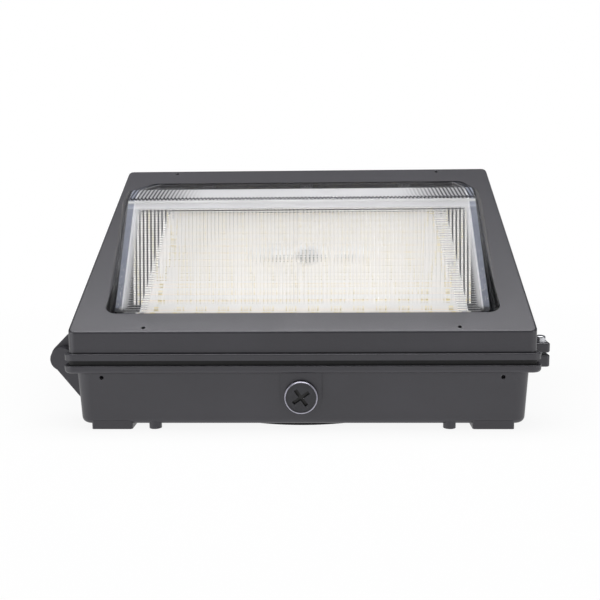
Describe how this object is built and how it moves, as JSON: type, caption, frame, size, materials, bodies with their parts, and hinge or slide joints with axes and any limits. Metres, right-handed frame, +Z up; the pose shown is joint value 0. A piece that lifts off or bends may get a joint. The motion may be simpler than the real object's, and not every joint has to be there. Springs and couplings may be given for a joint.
{
  "type": "wall pack light",
  "caption": "Hinged wall pack light: a cast housing with a wedge-shaped door, a ribbed prismatic lens over an LED board, closing screws and screwed conduit plugs",
  "frame": {"origin": "centre of the four wall bolts, in the plane of the wall", "axes": "+X to the right seen from in front, +Z up the wall, +Y into the wall; light leaves towards -Y"},
  "size_m": [0.3932, 0.1966, 0.2365],
  "materials": {
    "graphite_casting": "die-cast aluminium with a satin dark-graphite powder coat",
    "prismatic_glass": "clear moulded refractor, ribbed inside",
    "black_rubber": "matt black silicone",
    "black_foam": "closed-cell foam, matt black",
    "stainless": "bright stainless fastener",
    "zinc_steel": "zinc-plated steel",
    "cast_plug": "plain cast zinc, bright at the rim",
    "white_sheet": "white-coated folded aluminium sheet",
    "white_board": "white solder mask on an aluminium-core board",
    "phosphor": "yellow phosphor diode",
    "white_nylon": "white nylon",
    "driver_shell": "plain aluminium, potted inside",
    "black_nylon": "black nylon",
    "green_screw": "green-dyed steel",
    "tinned_brass": "tinned brass",
    "black_insulation": "black wire insulation",
    "white_insulation": "white wire insulation",
    "green_insulation": "green wire insulation",
    "red_insulation": "red wire insulation",
    "blue_insulation": "blue wire insulation"
  },
  "bodies": {
    "housing": {"back_housing": "graphite_casting", "wall_gasket": "black_foam", "door_gasket": "black_rubber", "hinge_pins": "stainless", "hinge_clips": "stainless", "led_tray": "white_sheet", "tray_screws": "zinc_steel", "led_board": "white_board", "board_screws": "zinc_steel", "leds": "phosphor", "board_connector": "white_nylon", "lead_grommet": "black_rubber", "driver_case": "driver_shell", "driver_caps": "black_nylon", "driver_screws": "zinc_steel", "terminal_block": "white_nylon", "terminal_screws": "zinc_steel", "ground_screw": "green_screw", "ring_terminal": "tinned_brass", "line_lead": "black_insulation", "neutral_lead": "white_insulation", "ground_lead": "green_insulation", "output_lead_plus": "red_insulation", "output_lead_minus": "blue_insulation"},
    "door": {"door_frame": "graphite_casting", "lens": "prismatic_glass", "lens_gasket": "black_rubber", "lens_clips": "zinc_steel", "clip_screws": "zinc_steel"},
    "washer_lower": {"closing_washer_lower": "stainless"},
    "screw_lower": {"closing_screw_lower": "stainless"},
    "washer_upper": {"closing_washer_upper": "stainless"},
    "screw_upper": {"closing_screw_upper": "stainless"},
    "seal_bottom": {"plug_seal_bottom": "black_rubber"},
    "plug_bottom": {"conduit_plug_bottom": "cast_plug"},
    "seal_left": {"plug_seal_left": "black_rubber"},
    "plug_left": {"conduit_plug_left": "cast_plug"},
    "seal_right": {"plug_seal_right": "black_rubber"},
    "plug_right": {"conduit_plug_right": "cast_plug"}
  },
  "joints": [
    {"name": "door_swing", "type": "hinge", "parent": "housing", "child": "door", "pos_m": [-0.1895, -0.0502, 0], "axis": [0, 0, -1], "range_deg": [0, 110]},
    {"name": "closing_screw_lower_rise", "type": "slide", "parent": "door", "child": "washer_lower", "axis": [0, -1, 0], "range_m": [0, 0.0088]},
    {"name": "closing_screw_lower_turn", "type": "hinge", "parent": "washer_lower", "child": "screw_lower", "pos_m": [0.1861, -0.0636, -0.081], "axis": [0, -1, 0], "range_deg": [0, 3961]},
    {"name": "closing_screw_upper_rise", "type": "slide", "parent": "door", "child": "washer_upper", "axis": [0, -1, 0], "range_m": [0, 0.0088]},
    {"name": "closing_screw_upper_turn", "type": "hinge", "parent": "washer_upper", "child": "screw_upper", "pos_m": [0.1861, -0.0636, 0.079], "axis": [0, -1, 0], "range_deg": [0, 3961]},
    {"name": "conduit_plug_bottom_rise", "type": "slide", "parent": "housing", "child": "seal_bottom", "axis": [0, 0, -1], "range_m": [0, 0.01089]},
    {"name": "conduit_plug_bottom_turn", "type": "hinge", "parent": "seal_bottom", "child": "plug_bottom", "pos_m": [0, -0.0264, -0.1147], "axis": [0, 0, -1], "range_deg": [0, 2160]},
    {"name": "conduit_plug_left_rise", "type": "slide", "parent": "housing", "child": "seal_left", "axis": [-1, 0, 0], "range_m": [0, 0.01089]},
    {"name": "conduit_plug_left_turn", "type": "hinge", "parent": "seal_left", "child": "plug_left", "pos_m": [-0.1743, -0.0264, 0], "axis": [-1, 0, 0], "range_deg": [0, 2160]},
    {"name": "conduit_plug_right_rise", "type": "slide", "parent": "housing", "child": "seal_right", "axis": [1, 0, 0], "range_m": [0, 0.01089]},
    {"name": "conduit_plug_right_turn", "type": "hinge", "parent": "seal_right", "child": "plug_right", "pos_m": [0.1743, -0.0264, 0], "axis": [1, 0, 0], "range_deg": [0, 2160]}
  ],
  "couplings": [
    {"joint": "closing_screw_lower_turn", "follows": "closing_screw_lower_rise", "rad_per_m": 7854},
    {"joint": "closing_screw_upper_turn", "follows": "closing_screw_upper_rise", "rad_per_m": 7854},
    {"joint": "conduit_plug_bottom_rise", "follows": "conduit_plug_bottom_turn", "m_per_rad": 0.00028875},
    {"joint": "conduit_plug_left_rise", "follows": "conduit_plug_left_turn", "m_per_rad": 0.00028875},
    {"joint": "conduit_plug_right_rise", "follows": "conduit_plug_right_turn", "m_per_rad": 0.00028875}
  ]
}
